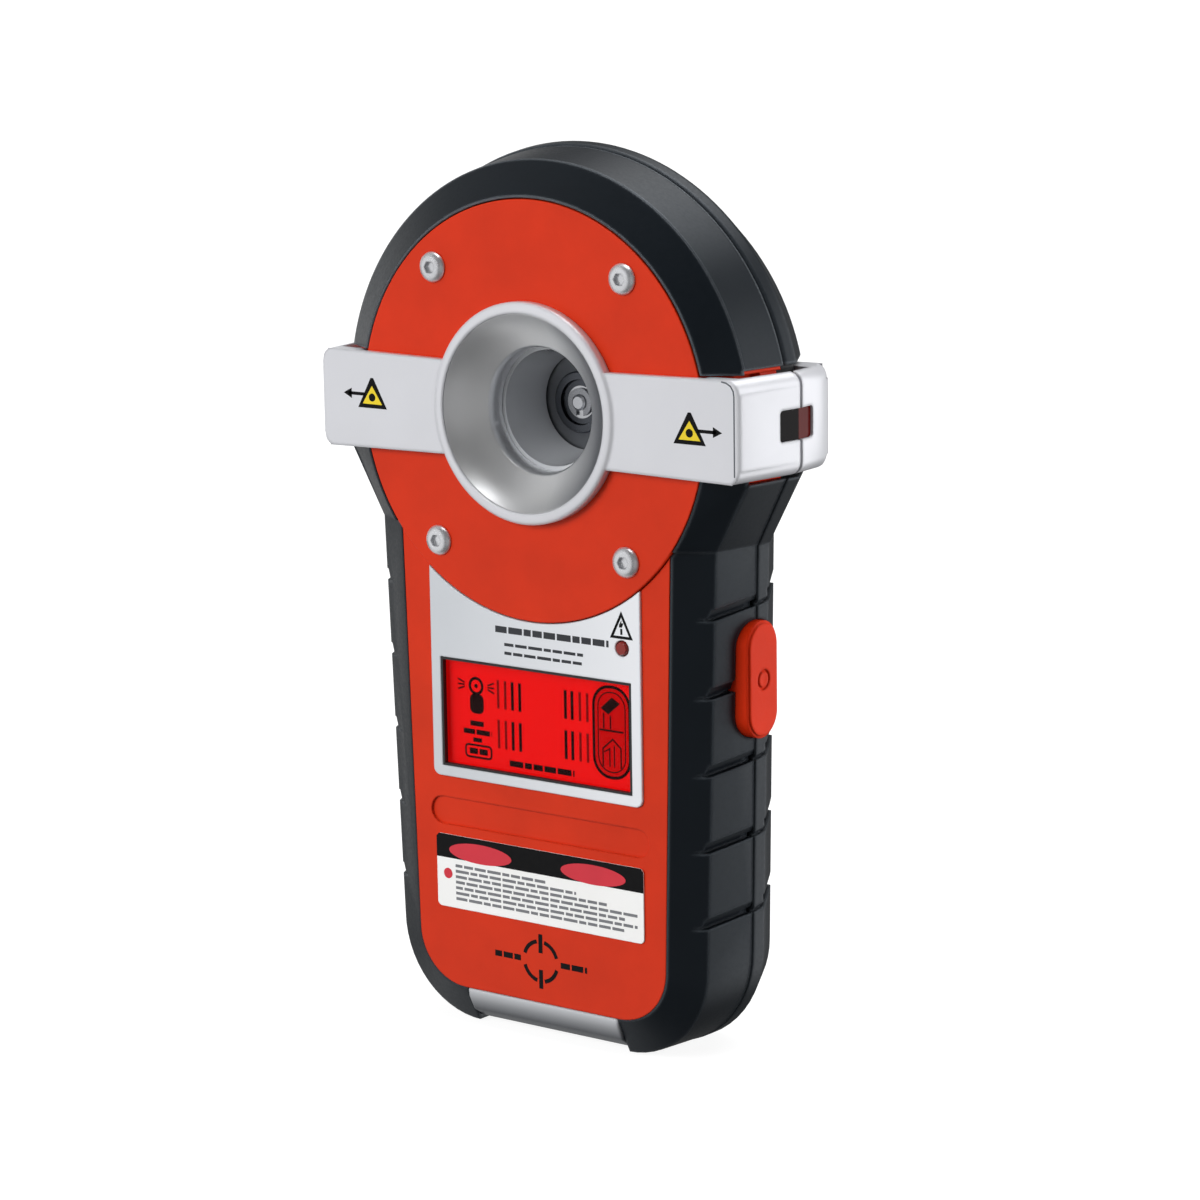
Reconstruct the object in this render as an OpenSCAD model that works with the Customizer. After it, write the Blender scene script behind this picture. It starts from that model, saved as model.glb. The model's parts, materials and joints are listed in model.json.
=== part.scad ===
// Handheld stud finder with a self-levelling line laser in its round head.
// Millimetres, +Z up, +X to the right of someone facing the display.
// The hub axis runs along Y through the origin. The rear wall face is y = 0 and the front faces -Y.

/* [Housing] */
// Depth from the rear wall face to the front of the face disc
body_d = 26; // [26:0.1:27]
// Radius of the round head, at its widest
head_r = 47.2; // [47.2:0.1:48.2]
// Radius of the face disc
disc_r = 38; // [37:0.1:38.2]
// Distance from the hub axis down to the feet
foot_drop = 117; // [117:0.5:123]
// Half width of the handle just below the neck, at the parting line
handle_w = 39.5; // [39.5:0.1:41.5]

/* [Bullseye] */
// Outer radius of the bright ring
ring_r = 20; // [19.6:0.1:20.3]
// Radius at the mouth of the silver dish
dish_mouth_r = 17.9; // [17.4:0.1:17.9]
// Radius at the throat of the silver dish
dish_throat_r = 11.7; // [11.6:0.1:12.2]

/* [Band] */
// Half height of the silver band beside the ring
band_h_in = 8.6; // [8:0.1:8.8]
// Half height of the silver band at its outer ends
band_h_out = 9.1; // [8.8:0.05:9.1]

/* [Display] */
// Half width of the silver display plate
plate_w = 23.8; // [23.6:0.1:25.5]
// Half width of the display window
lcd_w = 21.6; // [21:0.1:21.6]

/* [Controls] */
// Height of each side button
button_h = 21.3; // [19:0.1:22]
// Width of each side button, across the parting line
button_w = 9.4; // [9:0.1:10]
// How far the right-hand button stands out of the flank
stud_proud = 1.5; // [1.2:0.1:2]
// How far the left-hand button stands out of the flank
laser_proud = 0.3; // [0.1:0.1:0.6]

/* [Wall socket] */
// Radius of the blind socket for a wall peg, on the hub axis
socket_r = 4; // [3:0.1:4.2]
// Depth of that socket
socket_d = 4.5; // [3.5:0.1:4.5]

/* [Hidden] */
$fn = 96;
gap = 0.05;
reveal = 0.2;
seam = 0.35;
band_proud = 1.7;
ring_proud = 2.2;
front_y = -body_d;
part_y = -12;
front_end = part_y - gap;
rear_end = part_y + gap;
panel_y = front_y + 0.6;
ridge_y = front_y + 4.2;
core_y = front_y + 4;
flank_y = front_y + 9;
rear_ridge_y = -9;
wall = 1.8;
rear_wall = 2.5;
panel_wall = 2.2;
core_front_r = 42.6;
core_flank_r = 44.6;
core_back_r = 41;
core_step_y = -6.5;
band_gap_z = 9.9;
band_edge_z = 9.15;
kink_z = -22.3;
panel_bottom = 109.7;
button_z = -46.4;
button_y = -12.1;
flank_x = 39.3;
socket_end = -socket_d;
window_h = 2.8;
window_y0 = -17.5;
window_y1 = -8;
laser_y = -13;
laser_r = 4;
swing_gap = 0.4;
plate_front = -8.6;
plate_rear = -6.9;
hub_front = -10.8;
spindle_r = 1.5;
bearing_r = 3;
screw_x = 21.1;
screw_z = 25;
screw_head_r = 2.85;
lcd_top = -46.85;
lcd_bottom = -67.4;
lens_y = panel_y + 0.6;
glass_y = panel_y + 1.45;
glass_back = glass_y + 2;
gasket_w = 0.45;
plate_bottom = -69.4;
pill_z = -76.15;
pill_r = 2.65;
pill_x = 22.3;
led_x = 19.8;
led_z = -40.7;
led_r = 1.3;
pcb_front = -21;
pcb_rear = -19.4;
pcb_screws_at = [[23.2, -71.5], [23.2, -93.6], [-23.2, -71.5], [-23.2, -93.6]];
case_screws_at = [[0, 37.3], [30.4, -20.6], [-30.4, -20.6], [28.2, -99.6], [-28.2, -99.6]];
groove_zs = [for (i = [0:4]) -34.4 - 14.1 * i];
groove_tilt = 8.3;
yoke_screws_at = [-13, 13];
yoke_screw_z = -38.5;
cell_r = 5.2;
cell_y = -8.2;
cell_pitch = 11.6;
cell_body = 43.4;
cell_nub = 1;
bay_w = 18.95;
bay_wall = 1.45;
bay_top = -48;
bay_low = -95.9;
bay_floor = -14.6;
contact_t = 0.4;
contact_top = bay_top - 0.1 - contact_t;
contact_low = bay_low + 0.1 + contact_t;
door_w = 18.7;
door_top = -47.2;
door_axis_y = -1.6;
door_axis_z = -97;
door_pin_r = 0.9;
barrel_r = 1.5;

// ---------------------------------------------------------------- shared construction

// Extrudes an outline drawn in X and Z from y0 back to y1.
module slab(y0, y1) {
    translate([0, y1, 0])
        rotate([90, 0, 0])
            linear_extrude(y1 - y0)
                children();
}

// Turns a profile drawn in radius and Y about the hub axis.
module turned() {
    rotate([-90, 0, 0])
        rotate_extrude()
            children();
}

// A round rod along Y.
module rod_y(x, z, r, y0, y1) {
    translate([x, y1, z])
        rotate([90, 0, 0])
            cylinder(h = y1 - y0, r = r);
}

// A round rod along X, for x0 < x1.
module rod_x(y, z, r, x0, x1) {
    translate([x0, y, z])
        rotate([0, 90, 0])
            cylinder(h = x1 - x0, r = r);
}

// A box from one corner to the opposite one.
module box(low, high) {
    translate(low)
        cube(high - low);
}

module both_sides() {
    children();
    mirror([1, 0, 0])
        children();
}

// The handle outline: tapered sides, round bottom corners, grown outwards by e.
module handle_outline(top_w, low_w, r, foot, e = 0, top = kink_z) {
    cx = low_w - r;
    cz = r - foot;
    polygon([[-top_w - e, top], [top_w + e, top], [low_w + e, cz], [-low_w - e, cz]]);
    polygon([[-cx, -foot - e], [cx, -foot - e], [cx, cz], [-cx, cz]]);
    translate([cx, cz])
        circle(r = r + e);
    translate([-cx, cz])
        circle(r = r + e);
}

module panel_outline(e = 0, top = kink_z) {
    handle_outline(30.3, 28.2, 10.5, panel_bottom, e, top);
}

// Half width of a section at height z, between its width at the kink and at its bottom corner.
function width_at(top_w, low_w, cz, z) = top_w + (low_w - top_w) * (kink_z - z) / (kink_z - cz);

// The rubber's sections as matched point lists, so that the skin between them runs in clean strips.
corner_steps = 14;
function corner(cx, cz, r, from) =
    [for (i = [0:corner_steps]) let (a = from - 90 * i / corner_steps) [cx + r * cos(a), cz + r * sin(a)]];
function section(top_w, low_w, r, foot) =
    concat([[-top_w, kink_z], [top_w, kink_z]], corner(low_w - r, r - foot, r, 0),
        corner(r - low_w, r - foot, r, -90));

module panel_section() {
    polygon(section(30.35, 28.25, 10.55, panel_bottom + gap));
}

module ridge_section() {
    polygon(section(handle_w - 2, 34.9, 18, foot_drop - 0.1));
}

module parting_section(e = 0) {
    polygon(section(handle_w + e, 37.8 + e, 20, foot_drop));
}

module widest_section() {
    polygon(section(handle_w + 0.5, 38.3, 20, foot_drop));
}

module rear_section() {
    polygon(section(handle_w - 4.4, 33.7, 16, foot_drop - 3));
}

// The neck between the band and the handle, with half width w at the band.
module neck_section(w, low_w, top = band_gap_z) {
    polygon([[0, -top], [w, -top], [low_w, kink_z], [0, kink_z]]);
}

// The hard core under the rubber: near the front, at the flanks and at the back.
module core_front_outline(e = 0) {
    circle(r = core_front_r + e);
    handle_outline(34.2, 32.2, 15, 114.2, e);
}

// Below the band the round part of the core narrows with the neck.
module core_flank_outline(e = 0) {
    intersection() {
        circle(r = core_flank_r + e);
        polygon([[-50, 50], [-50, -band_gap_z], [-43.3 - e, -band_gap_z], [-36.4 - e, kink_z],
            [-36.2 - e, -50], [36.2 + e, -50], [36.4 + e, kink_z], [43.3 + e, -band_gap_z],
            [50, -band_gap_z], [50, 50]]);
    }
    handle_outline(36.4, 34.6, 16, 115.4, e);
}

module core_back_outline(e = 0) {
    circle(r = core_back_r + e);
    handle_outline(33.9, 32.5, 14.5, 112.2, e);
}

// The upright slot shape of a side button, laid in the YZ plane from x0 to x1.
module button_slot(x0, x1, e = 0) {
    r = button_w / 2 + e;
    reach = button_h / 2 - button_w / 2;
    rod_x(button_y, button_z + reach, r, x0, x1);
    rod_x(button_y, button_z - reach, r, x0, x1);
    box([x0, button_y - r, button_z - reach], [x1, button_y + r, button_z + reach]);
}

// The flank slot through which the laser line leaves.
module window_slot(e = 0) {
    r = 0.7 + e;
    y0 = window_y0 + 0.7;
    y1 = window_y1 - 0.7;
    h = window_h - 0.7;
    box([38, y0 - r, -h], [52, y1 + r, h]);
    box([38, y0, -h - r], [52, y1, h + r]);
    for (y = [y0, y1])
        for (z = [-h, h])
            rod_x(y, z, r, 38, 52);
}

// Extrudes a profile along a line in plan from a to b. The profile's first axis points to the left of
// the line, its second axis up.
module along(a, b) {
    translate([a[0], a[1], 0])
        rotate([0, 0, atan2(b[1] - a[1], b[0] - a[0])])
            rotate([90, 0, 90])
                linear_extrude(norm(b - a))
                    children();
}

// Tilts a level cut at height 0 so that it passes through the front ridge at height z and rises
// towards the back.
module groove_plane(z) {
    translate([0, ridge_y, z])
        rotate([groove_tilt, 0, 0])
            translate([0, -ridge_y, 0])
                children();
}

// The cross-section of a grip groove: a slit with a slope above it, cut to the given depth.
module groove_profile(deep, high) {
    polygon([[-3, -0.25], [deep + 0.45, -0.25], [deep + 0.45, 0.2], [deep, 0.2], [0, high], [-3, high]]);
}

// A grip groove across the front half of the right flank. A thin slit starts part way up the chamfer
// and follows the surface to the parting, where a deeper notch opens.
module front_groove(z) {
    panel = width_at(30.3, 28.2, -99.2, z);
    ridge = width_at(handle_w - 2, 34.9, -98.9, z);
    parting = width_at(handle_w, 37.8, -97, z);
    start = ridge - 0.55 * (ridge - panel);
    groove_plane(z) {
        translate([0, 0, -0.25])
            linear_extrude(0.5)
                polygon([[start, ridge_y - 2.2], [ridge - 0.55, ridge_y + 0.1], [parting - 0.7, part_y],
                    [60, part_y], [60, ridge_y - 2.2]]);
        along([ridge - 0.7, ridge_y - 1], [parting, part_y + 0.2])
            groove_profile(0.6, 1.9);
        slab(part_y - 2, part_y + 0.4)
            polygon([[parting - 1.3, -0.25], [parting - 1.3, 0.7], [parting + 2, 1.4],
                [parting + 2, -0.25]]);
    }
}

// The same groove across the rear half, where it notches the outline.
module rear_groove(z) {
    parting = width_at(handle_w + 0.3, 38.1, -97, z);
    widest = width_at(handle_w + 0.5, 38.3, -97, z);
    rear = width_at(handle_w - 4.4, 33.7, -98, z);
    groove_plane(z) {
        along([parting, part_y - 0.4], [widest, rear_ridge_y])
            groove_profile(0.35, 0.8);
        along([widest, rear_ridge_y], [rear, 0.6])
            groove_profile(0.75, 2.2);
    }
}

// The arms of the band, seen from the front, grown by e.
module band_face(e = 0) {
    polygon([[-50, -band_h_out - e], [0, -band_h_in + 0.3 - e], [50, -band_h_out - e],
        [50, band_h_out + e], [0, band_h_in - 0.3 + e], [-50, band_h_out + e]]);
}

// ---------------------------------------------------------------- rubber grips

module front_grip_body() {
    hull() {
        slab(panel_y, panel_y + 0.02)
            panel_section();
        slab(ridge_y, ridge_y + 0.02)
            ridge_section();
    }
    hull() {
        slab(ridge_y, ridge_y + 0.02)
            ridge_section();
        slab(front_end - 0.02, front_end)
            parting_section();
    }
    hull() {
        slab(front_y + 0.1, front_y + 0.12)
            intersection() {
                circle(r = disc_r + 0.5);
                polygon([[-50, kink_z], [50, kink_z], [50, -band_edge_z], [-50, -band_edge_z]]);
            }
        slab(ridge_y, ridge_y + 0.02)
            neck_section(44.6, handle_w - 1.9, band_edge_z);
    }
    hull() {
        slab(ridge_y, ridge_y + 0.02)
            neck_section(44.6, handle_w - 1.9);
        slab(front_end - 0.02, front_end)
            neck_section(45.8, handle_w + 0.1);
    }
}

module side_grip_front() {
    difference() {
        front_grip_body();
        box([-60, -40, -130], [0, 0, 0]);
        box([-1, -40, -130], [17.35, 0, -100]);
        slab(front_y - 1, core_y + 1)
            panel_outline(gap);
        slab(front_y - 1, core_y + 1)
            circle(r = disc_r + reveal);
        slab(core_y - gap, 0)
            core_front_outline(gap);
        slab(flank_y - gap, 0)
            core_flank_outline(gap);
        button_slot(30, 50, 0.15);
        for (z = groove_zs)
            front_groove(z);
    }
}

module side_grip_front_right() {
    color([0.10, 0.11, 0.12])
        side_grip_front();
}

module side_grip_front_left() {
    color([0.10, 0.11, 0.12])
        mirror([1, 0, 0])
            side_grip_front();
}

module rear_grip_body() {
    hull() {
        slab(rear_end, rear_end + 0.02)
            parting_section(0.3);
        slab(rear_ridge_y - 0.02, rear_ridge_y)
            widest_section();
    }
    hull() {
        slab(rear_ridge_y - 0.02, rear_ridge_y)
            widest_section();
        slab(-0.12, -0.1)
            rear_section();
    }
    hull() {
        slab(rear_end, rear_end + 0.02)
            neck_section(46.1, handle_w + 0.4);
        slab(rear_ridge_y - 0.02, rear_ridge_y)
            neck_section(46.5, handle_w + 0.6);
    }
    hull() {
        slab(rear_ridge_y - 0.02, rear_ridge_y)
            neck_section(46.5, handle_w + 0.6);
        slab(-0.12, -0.1)
            neck_section(41.9, handle_w - 4.3);
    }
}

module side_grip_rear() {
    difference() {
        rear_grip_body();
        box([-60, -40, -130], [gap, 5, 0]);
        slab(-20, 1)
            core_back_outline(gap);
        slab(-20, core_step_y + gap)
            core_flank_outline(gap);
        button_slot(30, 50, 0.15);
        for (z = groove_zs)
            rear_groove(z);
    }
}

module side_grip_rear_right() {
    color([0.10, 0.11, 0.12])
        side_grip_rear();
}

module side_grip_rear_left() {
    color([0.10, 0.11, 0.12])
        mirror([1, 0, 0])
            side_grip_rear();
}

module arch_grip_front() {
    color([0.10, 0.11, 0.12])
        difference() {
            turned()
                polygon([[disc_r + reveal, front_y + 0.25], [disc_r + 0.5, front_y + 0.05],
                    [head_r - 2.4, ridge_y], [head_r - 0.8, front_end], [core_flank_r + gap, front_end],
                    [core_flank_r + gap, flank_y - gap], [core_front_r + gap, flank_y - gap],
                    [core_front_r + gap, core_y - gap], [disc_r + reveal, core_y - gap]]);
            box([-60, -40, -60], [60, 5, band_edge_z]);
            box([-60, ridge_y, 0], [60, 5, band_gap_z]);
        }
}

module arch_grip_rear() {
    color([0.10, 0.11, 0.12])
        difference() {
            turned()
                polygon([[head_r - 0.4, rear_end], [head_r, rear_ridge_y], [42.3, -0.1],
                    [core_back_r + gap, -0.1], [core_back_r + gap, core_step_y + gap],
                    [core_flank_r + gap, core_step_y + gap], [core_flank_r + gap, rear_end]]);
            box([-60, -40, -60], [60, 5, band_gap_z]);
        }
}

// ---------------------------------------------------------------- hard housing

// Thin webs of the shell that show between the band and the ends of the rubber.
module band_web(y0, y1, outer) {
    intersection() {
        turned()
            polygon(outer);
        union() {
            box([-60, y0, band_h_out + 0.1], [60, y1, band_gap_z - gap]);
            box([-60, y0, gap - band_gap_z], [60, y1, -band_h_out - 0.1]);
        }
    }
}

module front_shell_solid() {
    slab(panel_y, core_y + 1)
        panel_outline(top = -16);
    slab(front_y + 2, core_y + 1)
        circle(r = disc_r - 0.1);
    slab(core_y, flank_y + 1)
        core_front_outline();
    slab(flank_y, front_end)
        core_flank_outline();
    band_web(ridge_y + 0.1, front_end, [[40, ridge_y + 0.1], [head_r - 3.1, ridge_y + 0.1],
        [head_r - 1.6, front_end], [40, front_end]]);
}

module front_shell_hollow() {
    slab(panel_y + panel_wall, core_y + 2)
        handle_outline(28.4, 26.4, 9, 107.8, 0, -30);
    slab(core_y + wall, flank_y + 2)
        core_front_outline(-wall);
    slab(flank_y + wall, 0)
        core_flank_outline(-wall);
}

module front_shell_posts() {
    for (x = [-screw_x, screw_x])
        for (z = [-screw_z, screw_z])
            rod_y(x, z, 3, core_y, core_y + 6);
    for (p = case_screws_at)
        rod_y(p[0], p[1], 3, core_y, front_end);
    for (p = pcb_screws_at)
        rod_y(p[0], p[1], 2.2, panel_y + 1, pcb_front - gap);
    both_sides()
        box([28.2, core_y + 0.3, -54], [30.2, -18.6, -39]);
}

module front_shell() {
    color([0.83, 0.22, 0.10])
        difference() {
            union() {
                difference() {
                    front_shell_solid();
                    front_shell_hollow();
                }
                front_shell_posts();
            }
            // seat of the face disc and the opening for the bullseye
            slab(front_y - 1, front_y + 2)
                circle(r = disc_r + reveal);
            rod_y(0, 0, 17.2, front_y - 1, core_y + 4);
            // display plate pocket and the opening for the display
            slab(front_y - 1, panel_y + 0.5)
                display_outline(gap);
            box([-22.2, front_y - 1, -67.8], [22.2, core_y + 2, -46.5]);
            rod_y(led_x, led_z, 1.6, front_y - 1, core_y + 2);
            // shallow pill-shaped recess below the display
            slab(front_y - 1, panel_y + 0.5)
                union() {
                    translate([0, pill_z])
                        square([2 * pill_x, 2 * pill_r], center = true);
                    for (x = [-pill_x, pill_x])
                        translate([x, pill_z])
                            circle(r = pill_r);
                }
            for (x = [-screw_x, screw_x])
                for (z = [-screw_z, screw_z])
                    rod_y(x, z, 1.5, front_y, core_y + 4.6);
            for (p = case_screws_at)
                rod_y(p[0], p[1], 1.35, -19.6, 0);
            for (p = pcb_screws_at)
                rod_y(p[0], p[1], 0.85, panel_y + 1.6, 0);
            both_sides() {
                button_slot(30.5, 50, 0.15);
                window_slot();
            }
        }
}

module rear_shell_solid() {
    slab(rear_end, core_step_y)
        core_flank_outline();
    slab(core_step_y - 1, 0)
        core_back_outline();
    band_web(rear_end, -0.1, [[40, rear_end], [head_r - 1.6, rear_end], [head_r - 1.2, rear_ridge_y],
        [41.3, -0.1], [40, -0.1]]);
}

// The open tray that holds the cells, closed towards the front.
module battery_bay() {
    box([-bay_w - bay_wall, bay_floor, bay_low - bay_wall], [bay_w + bay_wall, -rear_wall + 0.5,
        bay_top + bay_wall]);
    both_sides()
        box([bay_w, -8, -99.4], [bay_w + bay_wall, -rear_wall + 0.5, -95]);
}

module battery_bay_hollow() {
    box([-bay_w, bay_floor + 1, bay_low], [bay_w, -rear_wall - 0.8, bay_top]);
    box([-bay_w, -rear_wall - 0.9, -98.7], [bay_w, 1, -47]);
}

module rear_shell_posts() {
    for (p = case_screws_at)
        rod_y(p[0], p[1], 3, rear_end, -rear_wall + 0.5);
    // boss of the wall socket and the spindle
    rod_y(0, 0, 7, -6, -1);
    // stops that limit the pendulum's swing
    for (x = [-4.62, 4.62])
        rod_y(x, -15, 0.7, -8.8, -1);
    // rails behind the two switch boards
    both_sides()
        box([28.2, -5.9, -54], [30.2, -rear_wall + 0.5, -39]);
    // ledges for the sensor board
    both_sides()
        box([13, -5.2, -109.4], [17, -rear_wall + 0.5, -99]);
    // posts of the magnet yoke
    for (x = yoke_screws_at)
        rod_y(x, yoke_screw_z, 2, -5.2, -1);
}

module rear_shell() {
    color([0.13, 0.14, 0.15])
        difference() {
            union() {
                difference() {
                    rear_shell_solid();
                    slab(-20, core_step_y - wall)
                        core_flank_outline(-wall);
                    slab(-20, -rear_wall)
                        core_back_outline(-wall);
                }
                rear_shell_posts();
                battery_bay();
            }
            battery_bay_hollow();
            rod_x(door_axis_y, door_axis_z, door_pin_r + gap, -20.1, 20.1);
            rod_y(0, 0, socket_r, socket_end, 1);
            rod_y(0, 0, spindle_r, -7, -4.9);
            for (x = yoke_screws_at)
                rod_y(x, yoke_screw_z, 0.85, -5.3, -1.9);
            for (p = case_screws_at) {
                rod_y(p[0], p[1], 1.5, -13, 1);
                rod_y(p[0], p[1], 2.9, -3.2, 1);
            }
            // shallow channel for the strip of the band across the back
            difference() {
                slab(-1.2, 1)
                    band_face(0.1);
                rod_y(0, 0, 8, -3, 3);
            }
            both_sides() {
                button_slot(30.5, 50, 0.15);
                window_slot();
            }
        }
}

module face_disc() {
    color([0.84, 0.24, 0.12])
        difference() {
            rod_y(0, 0, disc_r, front_y, front_y + 1.95);
            rod_y(0, 0, ring_r - 0.7, front_y - 1, front_y + 3);
            for (x = [-screw_x, screw_x])
                for (z = [-screw_z, screw_z])
                    rod_y(x, z, 1.6, front_y - 1, front_y + 3);
        }
}

// A button-head screw with a hex socket, head towards the front.
module button_screw(x, z) {
    translate([x, 0, z])
        difference() {
            turned()
                polygon([[0, front_y - 1.15], [1.6, front_y - 1.1], [2.3, front_y - 0.85],
                    [2.7, front_y - 0.45], [screw_head_r, front_y - gap], [1.45, front_y - gap],
                    [1.45, front_y + 8], [0, front_y + 8]]);
            slab(front_y - 2, front_y - 0.4)
                circle(r = 1.15, $fn = 6);
        }
}

module face_screws() {
    color([0.80, 0.81, 0.83])
        for (x = [-screw_x, screw_x])
            for (z = [-screw_z, screw_z])
                button_screw(x, z);
}

// A pan-head case screw, head towards the back.
module case_screw(x, z) {
    translate([x, 0, z])
        difference() {
            turned()
                polygon([[0, -1.3], [1.9, -1.4], [2.6, -1.9], [2.7, -3.1], [1.3, -3.1], [1.3, -19],
                    [0, -19.5]]);
            slab(-2.2, 0)
                union() {
                    square([2.6, 0.5], center = true);
                    square([0.5, 2.6], center = true);
                }
        }
}

module housing_screws() {
    color([0.55, 0.56, 0.58])
        for (p = case_screws_at)
            case_screw(p[0], p[1]);
}

// ---------------------------------------------------------------- silver band and bullseye

// The band's right-hand end in plan: over the front corner and down the flank to the parting.
module band_front_plan() {
    polygon([[0, front_y - band_proud], [46, front_y - band_proud], [46.5, front_y - band_proud + 0.2],
        [46.8, front_y - band_proud + 0.8], [48.9, part_y - seam], [46.8, part_y - seam],
        [44.4, front_y + 1.6], [disc_r + 0.4, front_y + 1.6], [disc_r + 0.4, front_y - gap],
        [0, front_y - gap]]);
}

// Rounds the upper and lower edges of the band's end along a line of its plan.
module band_edge_round(a, b) {
    r = 2.4;
    for (s = [0, 1])
        mirror([0, 0, s])
            translate([0, 0, band_h_out])
                along(a, b)
                    difference() {
                        polygon([[-2, 1], [-2, -r], [r, -r], [r, 1]]);
                        translate([r, -r])
                            circle(r = r);
                    }
}

// The ring rises gently from the level of the band to the mouth of the dish.
module band_ring_profile() {
    polygon([[dish_mouth_r + gap, front_y - ring_proud + 0.15], [dish_mouth_r + 0.3, front_y - ring_proud],
        [dish_mouth_r + 0.7, front_y - ring_proud + 0.05], [ring_r - 0.4, front_y - band_proud - 0.35],
        [ring_r, front_y - band_proud], [ring_r, front_y - gap], [ring_r - 0.8, front_y - gap],
        [ring_r - 0.8, front_y + 1.9], [dish_mouth_r + gap, front_y + 1.9]]);
}

module band_front() {
    color([0.84, 0.85, 0.87])
        difference() {
            union() {
                intersection() {
                    both_sides()
                        translate([0, 0, -20])
                            linear_extrude(40)
                                band_front_plan();
                    slab(-40, 0)
                        band_face();
                }
                turned()
                    band_ring_profile();
            }
            rod_y(0, 0, dish_mouth_r + gap, -40, -20);
            both_sides() {
                window_slot();
                band_edge_round([46.3, front_y - band_proud - 0.2], [48.94, front_end + 0.2]);
            }
        }
}

module band_rear_plan() {
    polygon([[47, part_y + seam], [48.9, part_y + seam], [48.4, -3.2], [47.6, -1.5], [46.2, -0.5],
        [44.6, -0.3], [0, -0.3], [0, -1.1], [41.2, -1.1], [41.2, -5.9], [46.6, -5.9]]);
}

module band_rear() {
    color([0.84, 0.85, 0.87])
        difference() {
            intersection() {
                both_sides()
                    translate([0, 0, -20])
                        linear_extrude(40)
                            band_rear_plan();
                slab(-40, 0)
                    band_face();
            }
            rod_y(0, 0, 8.1, -40, 5);
            both_sides() {
                window_slot();
                band_edge_round([48.94, part_y - 0.1], [48.4, -3.1]);
                band_edge_round([48.6, -3.7], [46.5, -0.05]);
            }
        }
}

// The dish curves a little inwards between its mouth and its throat.
dish_steps = 10;
dish_front = front_y - ring_proud + 0.25;
dish_back = front_y + 3.2;
function dish_point(i, out) =
    let (t = i / dish_steps)
    [dish_mouth_r + (dish_throat_r - dish_mouth_r) * t + 0.7 * sin(180 * t) + out * (1 - 0.9 * (1 - t)),
        dish_front + (dish_back - dish_front) * t + out * (1 - t)];

module bullseye_dish() {
    color([0.70, 0.71, 0.73])
        turned()
            polygon(concat([for (i = [0:dish_steps]) dish_point(i, 0)],
                [[11.4, dish_back + 0.6], [11.3, front_y + 7], [12.7, front_y + 7],
                    [12.9, dish_back]],
                [for (i = [dish_steps:-1:1]) dish_point(i, 1.2)],
                [[dish_mouth_r, dish_front + 1.4]]));
}

module bullseye_window() {
    color([0.80, 0.85, 0.88, 0.35])
        turned()
            polygon([[10.6, front_y + 7.05], [12.7, front_y + 7.05], [12.7, front_y + 8],
                [11.5, front_y + 8.2], [9.9, -9.05], [8.9, -9.05], [10.4, front_y + 8.4]]);
}

// The filter lies just under the surface of the band and follows it around the parting.
module laser_window() {
    intersection() {
        window_slot(-gap);
        translate([0, 0, -5])
            linear_extrude(10)
                polygon([[46, window_y0], [47.3, window_y0], [48.35, part_y], [48.2, window_y1],
                    [43.1, window_y1], [43.1, -10], [45.5, -10]]);
    }
}

module laser_window_right() {
    color([0.35, 0.03, 0.04, 0.6])
        laser_window();
}

module laser_window_left() {
    color([0.35, 0.03, 0.04, 0.6])
        mirror([1, 0, 0])
            laser_window();
}

// ---------------------------------------------------------------- display and front labels

module round_rect(w, low, high, r) {
    polygon([[-w, low + r], [w, low + r], [w, high - r], [-w, high - r]]);
    polygon([[-w + r, low], [w - r, low], [w - r, high], [-w + r, high]]);
    for (x = [-w + r, w - r])
        for (z = [low + r, high - r])
            translate([x, z])
                circle(r = r);
}

// The display plate is bounded above by the face disc.
module display_outline(e = 0) {
    difference() {
        round_rect(plate_w + e, plate_bottom - e, -28, 1.5);
        circle(r = disc_r + reveal);
    }
}

module display_plate() {
    color([0.80, 0.81, 0.83])
        difference() {
            slab(panel_y - 0.5, panel_y + 0.45)
                display_outline();
            box([-lcd_w, front_y - 1, lcd_bottom], [lcd_w, 0, lcd_top]);
            rod_y(led_x, led_z, led_r + 0.15, front_y - 1, 0);
        }
}

// A dark frame that lines the display opening in front of the lens.
module lcd_gasket() {
    color([0.06, 0.06, 0.07])
        difference() {
            box([gap - lcd_w, panel_y - 0.4, lcd_bottom + gap], [lcd_w - gap, lens_y - gap, lcd_top - gap]);
            box([gasket_w - lcd_w, front_y - 1, lcd_bottom + gasket_w],
                [lcd_w - gasket_w, 0, lcd_top - gasket_w]);
        }
}

module lcd_lens() {
    color([0.80, 0.05, 0.08, 0.5])
        box([-22.1, lens_y, -67.7], [22.1, glass_y - gap, -46.6]);
}

module lcd_glass() {
    color([0.85, 0.15, 0.15, 0.6])
        union() {
            box([-21.9, glass_y, -67.6], [21.9, glass_y + 1, -46.7]);
            box([-21.9, glass_y + 1, -66.2], [21.9, glass_back - gap, -47.6]);
        }
}

module lcd_connectors() {
    color([0.85, 0.45, 0.60])
        for (z = [-65.9, -49.5])
            box([-20, glass_back, z], [20, pcb_front - gap, z + 1.5]);
}

module lcd_backlight() {
    color([0.92, 0.92, 0.88])
        box([-20.5, glass_back, -64.2], [20.5, pcb_front - gap, -49.7]);
}

module warning_led() {
    color([0.75, 0.10, 0.08])
        union() {
            rod_y(led_x, led_z, led_r, panel_y, pcb_front - gap);
            rod_y(led_x, led_z, 1.5, panel_y + 2.4, pcb_front - gap);
            translate([led_x, panel_y, led_z])
                intersection() {
                    scale(led_r)
                        sphere(r = 1);
                    box([-2, -0.8, -2], [2, 0.2, 2]);
                }
        }
}

module info_label() {
    color([0.94, 0.94, 0.93])
        slab(panel_y - 0.3, panel_y - gap)
            round_rect(23.7, -94.6, -80.6, 1);
}

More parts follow.
